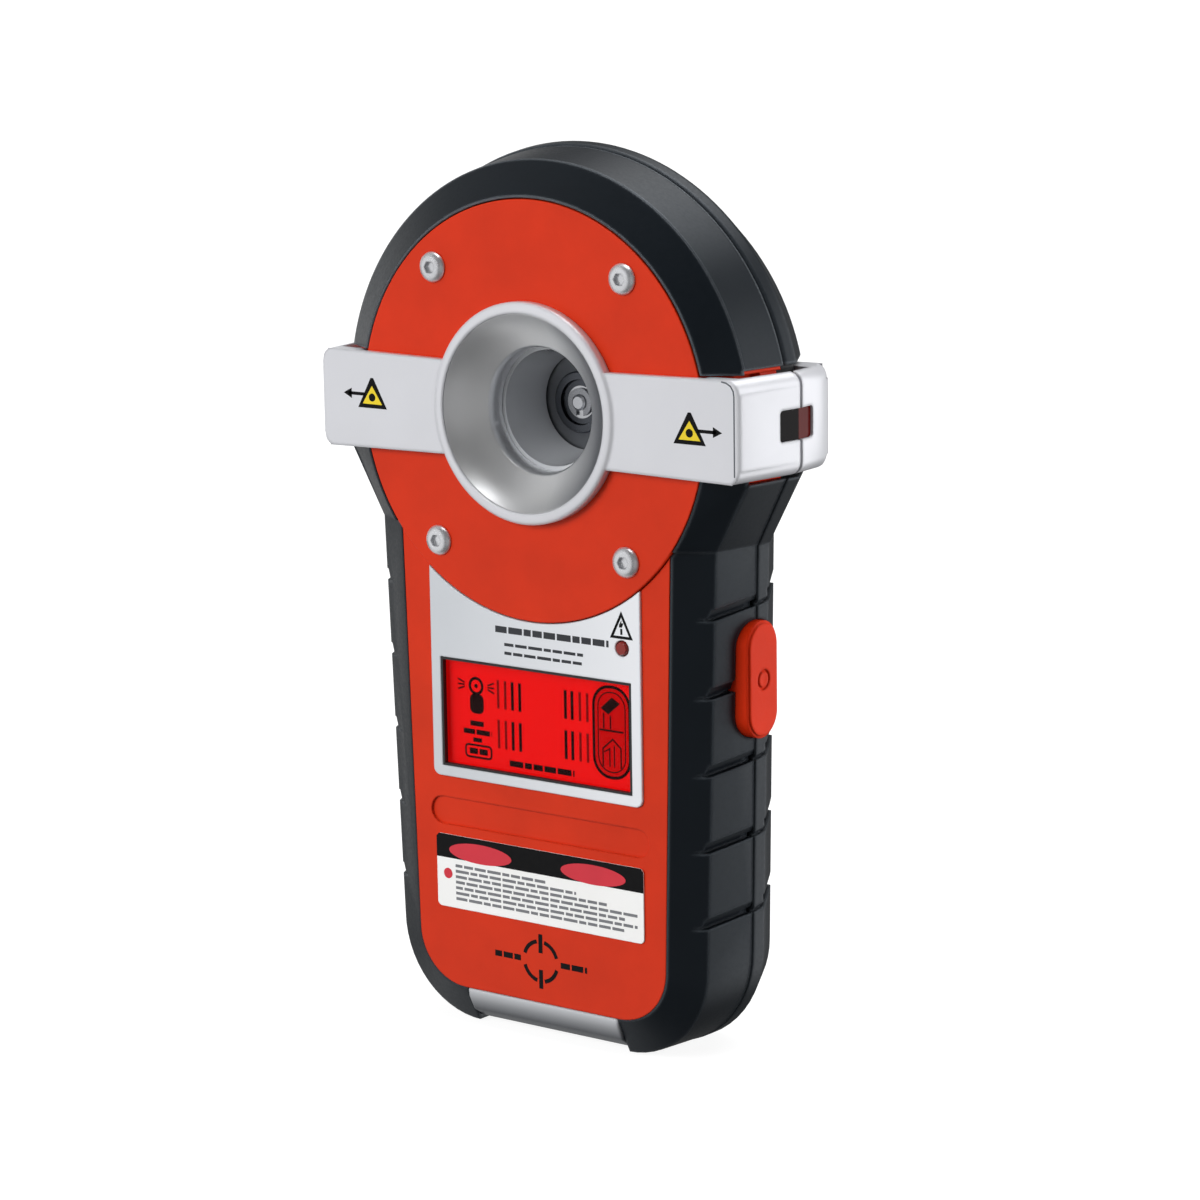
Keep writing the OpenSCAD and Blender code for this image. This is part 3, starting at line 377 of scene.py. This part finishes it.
# ---------------------------------------------------------------- CAD nodes

# The rounding of a node's edges: its width in millimetres and its number of segments.
GRIP_EDGE = (0.45, 3)
BUTTON_EDGE = (0.5, 4)
BEVELS = {
    "band_front": (0.35, 3),
    "band_rear": (0.7, 4),
    "side_grip_front_right": GRIP_EDGE,
    "side_grip_front_left": GRIP_EDGE,
    "side_grip_rear_right": GRIP_EDGE,
    "side_grip_rear_left": GRIP_EDGE,
    "arch_grip_front": (0.8, 4),
    "arch_grip_rear": (0.6, 4),
    "face_disc": (0.2, 3),
    "face_screws": (0.12, 2),
    "bullseye_dish": (0.15, 2),
    "stud_button": BUTTON_EDGE,
    "laser_button": BUTTON_EDGE,
    "display_plate": (0.2, 2),
    "info_label": (0.05, 1),
    "bottom_trim": (0.3, 3),
    "battery_door": (0.25, 2),
}
SHARP_ANGLE = math.radians(28)
FLAT_ANGLE = math.radians(0.5)
WELD_DISTANCE = 0.002 * MM


def round_edges(node, width, segments):
    """Rounds the sharp edges of a node, after a weld of its doubled points and of its flat cuts."""
    mesh = node.data
    for polygon in mesh.polygons:
        polygon.use_smooth = True
    mesh.attributes.remove(mesh.attributes["custom_normal"])
    weld = node.modifiers.new("Weld", "WELD")
    weld.merge_threshold = WELD_DISTANCE
    planar = node.modifiers.new("Planar", "DECIMATE")
    planar.decimate_type = "DISSOLVE"
    planar.angle_limit = FLAT_ANGLE
    bevel = node.modifiers.new("Bevel", "BEVEL")
    bevel.width = width * MM
    bevel.segments = segments
    bevel.limit_method = "ANGLE"
    bevel.angle_limit = SHARP_ANGLE
    bevel.harden_normals = True
    bevel.use_clamp_overlap = True


def paint(node, slot):
    mesh = node.data
    mesh.materials.clear()
    mesh.materials.append(MATERIALS[slot])
    for polygon in mesh.polygons:
        polygon.material_index = 0


slot_of = {row["node"]: row["material_slot"] for row in frame["record"]["subparts"]}
for name, node in nodes.items():
    paint(node, "arch_rubber" if name.startswith("arch_grip") else slot_of[name])
    if name in BEVELS:
        round_edges(node, *BEVELS[name])


# ---------------------------------------------------------------- printed marks and a painted shadow line

INK_THICK = 0.04
INK_SUNK = 0.01
LAYER = 0.03
MERGE_DISTANCE = 1e-7


class Print:
    """Flat marks in the XZ plane at one depth, a few hundredths of a millimetre thick, on the housing.

    Their points are in millimetres from the place last given to at()."""

    def __init__(self, name, y, ink):
        self.name = name
        self.y = y
        self.ink = ink
        self.place = (0.0, 0.0)
        self.bm = bmesh.new()

    def at(self, x, z):
        self.place = (x, z)

    def face(self, points):
        across, up = self.place
        self.bm.faces.new([self.bm.verts.new(((across + x) * MM, 0, (up + z) * MM)) for x, z in points])

    def box(self, x0, x1, z0, z1):
        self.face([(x0, z0), (x1, z0), (x1, z1), (x0, z1)])

    def oval(self, x, z, rx, rz, steps):
        turn = 2 * math.pi / steps
        self.face([(x + rx * math.cos(turn * i), z + rz * math.sin(turn * i)) for i in range(steps)])

    def disc(self, x, z, r, steps=32):
        self.oval(x, z, r, r, steps)

    def stroke(self, points, width, closed=False):
        """A ribbon along a path, mitred at its corners."""
        path = [Vector(p) for p in points]
        count = len(path)
        sides = []
        for i, here in enumerate(path):
            before = path[i - 1] if closed or i else here
            after = path[(i + 1) % count] if closed or i + 1 < count else here
            a = (here - before).normalized() if here != before else (after - here).normalized()
            b = (after - here).normalized() if after != here else a
            normal = Vector((-(a + b).y, (a + b).x)).normalized()
            reach = width / 2 / max(0.4, normal.dot(Vector((-a.y, a.x))))
            sides.append((here + normal * reach, here - normal * reach))
        for i in range(count if closed else count - 1):
            (a, b), (c, d) = sides[i], sides[(i + 1) % count]
            self.face([tuple(b), tuple(d), tuple(c), tuple(a)])

    def arc(self, x, z, r, start, end, width, steps=24):
        closed = abs(end - start) >= 360
        count = steps if closed else steps + 1
        angles = [math.radians(start + (end - start) * i / steps) for i in range(count)]
        self.stroke([(x + r * math.cos(a), z + r * math.sin(a)) for a in angles], width, closed)

    def dashes(self, start, end, z, tall, row):
        """A broken line in place of small print: strokes of uneven length, no letters."""
        x = start
        step = 0
        while x < end:
            word = 1.6 + 0.5 * ((row * 7 + step * 5) % 4)
            self.box(x, min(x + word, end), z - tall / 2, z + tall / 2)
            x += word + 0.4
            step += 1

    def build(self):
        bm = self.bm
        bmesh.ops.remove_doubles(bm, verts=bm.verts, dist=MERGE_DISTANCE)
        bmesh.ops.recalc_face_normals(bm, faces=bm.faces)
        grown = bmesh.ops.extrude_face_region(bm, geom=list(bm.faces))
        moved = [v for v in grown["geom"] if isinstance(v, bmesh.types.BMVert)]
        bmesh.ops.translate(bm, verts=moved, vec=(0, -INK_THICK * MM, 0))
        bmesh.ops.recalc_face_normals(bm, faces=bm.faces)
        mesh = bpy.data.meshes.new(self.name)
        bm.to_mesh(mesh)
        bm.free()
        for vertex in mesh.vertices:
            vertex.co.y += (self.y + INK_SUNK) * MM
        mesh.materials.append(MATERIALS[self.ink])
        made = bpy.data.objects.new(self.name, mesh)
        scene.collection.objects.link(made)
        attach(made, "housing")


def rounded(x0, x1, z0, z1, r, steps=6):
    """The outline of a round-cornered rectangle."""
    points = []
    corners = ((x1 - r, z1 - r, 0), (x0 + r, z1 - r, 90), (x0 + r, z0 + r, 180), (x1 - r, z0 + r, 270))
    for cx, cz, start in corners:
        for i in range(steps + 1):
            a = math.radians(start + 90 * i / steps)
            points.append((cx + r * math.cos(a), cz + r * math.sin(a)))
    return points


def beam_sign(black, yellow, dots, side):
    """A yellow triangle with a dot, and an arrow that points out along the band."""
    tall = 5.6
    level = 2.5
    start, neck, tip = side * 1.7, side * 5.6, side * 6.8
    black.face([(-3.4, 0), (3.4, 0), (0.3, tall), (-0.3, tall)])
    yellow.face([(-2.3, 0.75), (2.3, 0.75), (0, tall - 1.45)])
    dots.disc(0, 2.0, 0.75, steps=20)
    black.box(min(start, neck), max(start, neck), level - 0.3, level + 0.3)
    black.face([(tip, level), (tip - side * 1.9, level + 0.95), (tip - side * 1.9, level - 0.95)])


def band_marks():
    black = Print("beam_marks_black", ARM_Y, "ink_black")
    yellow = Print("beam_marks_yellow", ARM_Y - LAYER, "ink_yellow")
    dots = Print("beam_marks_dots", ARM_Y - 2 * LAYER, "ink_black")
    for side, x, z in ((-1, -34.7, -1.5), (1, 36.2, -2.6)):
        for ink in (black, yellow, dots):
            ink.at(x, z)
        beam_sign(black, yellow, dots, side)
    # a painted shadow: a fine dark line along the rounded right-hand end of the band, turning down at its
    # corner
    line = Print("band_corner_painted_shadow", ARM_Y, "ink_corner_shadow")
    line.stroke([(42.9, 8.75), (43.9, 8.6), (44.8, 8.1), (45.35, 7.3), (45.5, 6.3), (45.5, -7.6)], 0.26)
    for mark in (black, yellow, dots, line):
        mark.build()


def plate_marks():
    # a triangle with a bolt over the lamp
    marks = Print("lamp_mark", PLATE_Y, "ink_black")
    marks.at(19.75, -38.7)
    marks.stroke([(-2.1, 0), (2.1, 0), (0, 4.2)], 0.5, closed=True)
    marks.face([(-0.5, 1.8), (0.1, 1.8), (0.5, 2.6), (0, 2.6), (0.1, 3.2), (-0.45, 2.3)])
    marks.box(-0.22, 0.22, 0.5, 1.6)
    marks.build()
    notice = Print("plate_lines", PLATE_Y, "ink_dark")
    notice.dashes(-8.6, 16.9, -40.2, 1.2, row=2)
    notice.dashes(-6.6, 11.2, -42.9, 0.55, row=3)
    notice.dashes(-6.6, 10.9, -44.5, 0.55, row=4)
    notice.build()


def level_sign(ink):
    """The self-levelling sign: a ring over a solid body, with beams to both sides."""
    ink.arc(0, 0, 1.45, 0, 360, 0.55)
    ink.disc(0, 0, 0.4, steps=14)
    ink.face(rounded(-1.5, 1.7, -5.2, -1.5, 1.1))
    for side in (-1, 1):
        for lift in (-0.75, 0, 0.75):
            ink.stroke([(side * 2.7, lift * 0.5), (side * 4.2, lift * 1.3)], 0.3)


def battery_sign(ink):
    """A small capsule with two cells."""
    ink.stroke(rounded(-3.0, 3.0, -1.15, 1.15, 0.7), 0.38, closed=True)
    ink.box(-2.1, -0.2, -0.55, 0.55)
    ink.box(0.2, 2.1, -0.55, 0.55)


SENSING_PLACE = (15.9, -56.85)
SENSING_OUTLINE = rounded(-4.0, 4.0, -8.35, 8.35, 3.6)


def sensing_sign(ink):
    """A capsule that holds a tilted block on two posts, a bar, and below it the outline of a house."""
    ink.stroke(SENSING_OUTLINE, 0.55, closed=True)
    ink.stroke(rounded(-3.0, 3.0, -7.35, 7.35, 2.8), 0.22, closed=True)
    ink.face([(-2.4, 4.25), (0.1, 6.45), (1.9, 5.45), (-0.7, 3.25)])
    ink.box(-1.9, -1.6, 0.55, 3.45)
    ink.box(-0.4, -0.1, 0.55, 3.05)
    ink.box(-2.7, 2.6, 0.1, 0.45)
    ink.stroke([(-2.0, -6.45), (-2.0, -3.15), (0.2, -1.25), (2.0, -2.75), (2.0, -6.45)], 0.3)
    ink.stroke([(-1.7, -3.75), (-0.5, -3.05), (-0.5, -6.35)], 0.26)
    ink.box(0.4, 0.65, -6.35, -2.35)


def display_marks():
    dark = Print("display_marks", GLASS_Y, "lcd_dark")
    dim = Print("display_bars_faint", GLASS_Y, "lcd_dim")
    # two rows of upright bars, strong ones near the middle and faint ones outside them
    for ink, wide, places in ((dim, 0.5, (-9.8, -8.15, 8.85, 10.5)), (dark, 0.62, (-6.5, -4.8, 5.6, 7.1))):
        for x in places:
            for low, high in ((-55.6, -50.3), (-63.1, -57.75)):
                ink.box(x - wide / 2, x + wide / 2, low, high)
    # three short rows under the level sign and one along the bottom
    dark.dashes(-16.4, -13.0, -59.1, 0.95, row=1)
    dark.dashes(-18.0, -11.4, -60.7, 0.95, row=2)
    dark.dashes(-15.8, -13.8, -62.2, 0.8, row=3)
    dark.dashes(-7.4, 7.4, -65.6, 1.1, row=5)
    dark.at(-14.9, -52.0)
    level_sign(dark)
    dark.at(-14.6, -64.35)
    battery_sign(dark)
    dark.at(*SENSING_PLACE)
    sensing_sign(dark)
    field = Print("display_capsule", GLASS_Y + LAYER, "lcd_field")
    field.at(*SENSING_PLACE)
    field.face(SENSING_OUTLINE)
    for mark in (dark, dim, field):
        mark.build()


def label_marks():
    (left, _, _), (right, _, top) = [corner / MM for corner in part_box("info_label")]
    cut = 0.6
    header = Print("label_header", LABEL_Y, "ink_black")
    header.face([(left, top - 4.5), (right, top - 4.5), (right, top - cut), (right - cut, top),
                 (left + cut, top), (left, top - cut)])
    ovals = Print("label_ovals", LABEL_Y - LAYER, "ink_red")
    for x, z in ((-13.4, -83.45), (12.5, -83.35)):
        ovals.oval(x, z, 7.3, 1.85, steps=40)
    dot = Print("label_dot", LABEL_Y, "ink_red")
    dot.disc(-21.1, -88.1, 1.0)
    lines = Print("label_lines", LABEL_Y, "ink_grey")
    for row, end in enumerate((1.6, 8.6, 15.5, 22.5, 19.5, 22.3, 19.3)):
        lines.dashes(-19.3, end, -86.4 - 1.05 * row, 0.54, row)
    for mark in (header, ovals, dot, lines):
        mark.build()


def target_mark():
    mark = Print("target_mark", PANEL_Y, "ink_black")
    mark.at(0, -101.8)
    for start in (17, 103, 197, 283):
        mark.arc(0, 0, 3.8, start, start + 60, 0.75, steps=12)
    mark.box(-0.45, 0.45, 1.6, 5.2)
    mark.box(-0.45, 0.45, -5.2, -1.6)
    mark.dashes(-10.6, -4.6, 0, 1.1, row=0)
    mark.dashes(4.6, 10.6, 0, 1.1, row=3)
    mark.build()


band_marks()
plate_marks()
display_marks()
label_marks()
target_mark()


# ---------------------------------------------------------------- floor and light

FLOOR_GAP = 0.2 * MM
FLOOR_REACH = 6.0
FLOOR_GREY = (0.28, 0.28, 0.28, 1)
FLOOR_GLOW = 0.88


def stage_floor():
    """A pale floor that only the camera sees, so that it throws no light up at the part."""
    z = cad_box[0].z - FLOOR_GAP
    mesh = bpy.data.meshes.new("floor")
    verts = [(x, y, z) for y in (-FLOOR_REACH, FLOOR_REACH) for x in (-FLOOR_REACH, FLOOR_REACH)]
    mesh.from_pydata(verts, [], [(0, 1, 3, 2)])
    s = Shader("floor_paint")
    pale = s.add("ShaderNodeBsdfPrincipled")
    s.put(pale.inputs["Base Color"], FLOOR_GREY)
    s.put(pale.inputs["Roughness"], s.ramp(s.noise(30.0), 0.3, 0.7, 0.85, 0.95))
    s.put(pale.inputs["Specular IOR Level"], 0.0)
    s.put(pale.inputs["Emission Color"], WHITE)
    s.put(pale.inputs["Emission Strength"], FLOOR_GLOW)
    clear = s.add("ShaderNodeBsdfTransparent")
    s.link(s.blend_shaders(s.camera_ray(), clear.outputs["BSDF"], pale.outputs["BSDF"]), s.surface)
    mesh.materials.append(s.material)
    floor = bpy.data.objects.new("floor", mesh)
    scene.collection.objects.link(floor)


# Area lights: name, place and size in metres, watts, and whether reflections show the light itself.
LIGHTS = (
    ("key", (-0.35, -1.00, 0.40), (0.6, 0.6), 8.4, False),
    ("flank", (1.05, 0.20, 0.15), (0.5, 0.7), 6.3, False),
    ("top", (0.10, 0.00, 1.10), (0.8, 0.5), 4.0, True),
)
LIT_POINT = Vector((0.0, -0.013, -0.035))

# Soft boxes of the surrounding room: direction, cosines where each one starts and is full, strength.
ROOM_LIGHTS = (
    ((-0.60, -0.78, -0.10), 0.66, 0.90, 0.85),
    ((0.68, 0.72, -0.08), 0.74, 0.93, 1.75),
    ((0.00, 0.38, 0.93), 0.80, 0.95, 3.00),
    ((-0.92, 0.40, 0.10), 0.86, 0.97, 1.30),
    ((0.76, -0.61, -0.20), 0.80, 0.97, 0.26),
    ((-0.55, 0.10, -0.83), 0.78, 0.96, 0.62),
    ((-0.62, -0.25, 0.75), 0.84, 0.97, 0.36),
)
ROOM_AMBIENT = 0.14


def area_light(name, place, size, watts, in_reflections):
    data = bpy.data.lights.new(name, "AREA")
    data.shape = "RECTANGLE"
    data.size, data.size_y = size
    data.energy = watts
    lamp = bpy.data.objects.new(name, data)
    lamp.location = place
    lamp.rotation_euler = (LIT_POINT - Vector(place)).to_track_quat("-Z", "Y").to_euler()
    lamp.visible_glossy = in_reflections
    scene.collection.objects.link(lamp)


def room_strength(s):
    """Brightness of the room in each direction, a sum of soft-edged round boxes over a dim ambient."""
    coords = s.add("ShaderNodeTexCoord").outputs["Generated"]
    total = ROOM_AMBIENT
    for direction, start, full, strength in ROOM_LIGHTS:
        dot = s.add("ShaderNodeVectorMath", operation="DOT_PRODUCT")
        s.link(coords, dot.inputs[0])
        s.put(dot.inputs[1], Vector(direction).normalized())
        blob = s.ramp(dot.outputs["Value"], start, full, 0.0, strength, interpolation_type="SMOOTHSTEP")
        added = s.add("ShaderNodeMath", operation="ADD")
        s.link(blob, added.inputs[0])
        s.put(added.inputs[1], total)
        total = added.outputs["Value"]
    return total


def light_world():
    """The room lights the part, and the camera sees plain white behind it."""
    world = bpy.data.worlds.new("studio")
    scene.world = world
    world.use_nodes = True
    s = Nodes(world.node_tree)
    white = s.tree.nodes["Background"]
    s.put(white.inputs["Color"], WHITE)
    s.put(white.inputs["Strength"], 1.0)
    room = s.add("ShaderNodeBackground")
    s.link(room_strength(s), room.inputs["Strength"])
    seen = s.blend_shaders(s.camera_ray(), room.outputs["Background"], white.outputs["Background"])
    s.link(seen, s.tree.nodes["World Output"].inputs["Surface"])


stage_floor()
for light in LIGHTS:
    area_light(*light)
light_world()


# ---------------------------------------------------------------- camera

CAMERA_PLACE = Vector((393.5, -537.0, 94.1)) * MM
AZIMUTH = math.radians(36.51)
ELEVATION = math.radians(11.25)
ROLL = math.radians(-0.88)
SENSOR_WIDTH = 36
FOCAL_LENGTH = 109.6


def place_camera():
    outward = Vector((math.sin(AZIMUTH), -math.cos(AZIMUTH), 0))
    back = outward * math.cos(ELEVATION) + Vector((0, 0, math.sin(ELEVATION)))
    level = Vector((math.cos(AZIMUTH), math.sin(AZIMUTH), 0))
    upright = back.cross(level)
    right = level * math.cos(ROLL) + upright * math.sin(ROLL)
    up = upright * math.cos(ROLL) - level * math.sin(ROLL)
    data = bpy.data.cameras.new("camera")
    data.sensor_width = SENSOR_WIDTH
    data.lens = FOCAL_LENGTH
    data.clip_start, data.clip_end = 0.05, 20
    camera = bpy.data.objects.new("camera", data)
    turn = Matrix((right, up, back)).transposed().to_4x4()
    camera.matrix_world = Matrix.Translation(CAMERA_PLACE) @ turn
    scene.collection.objects.link(camera)
    scene.camera = camera


place_camera()
scene.view_settings.view_transform = "Standard"
scene.view_settings.look = "None"
scene.view_settings.exposure = 0.0
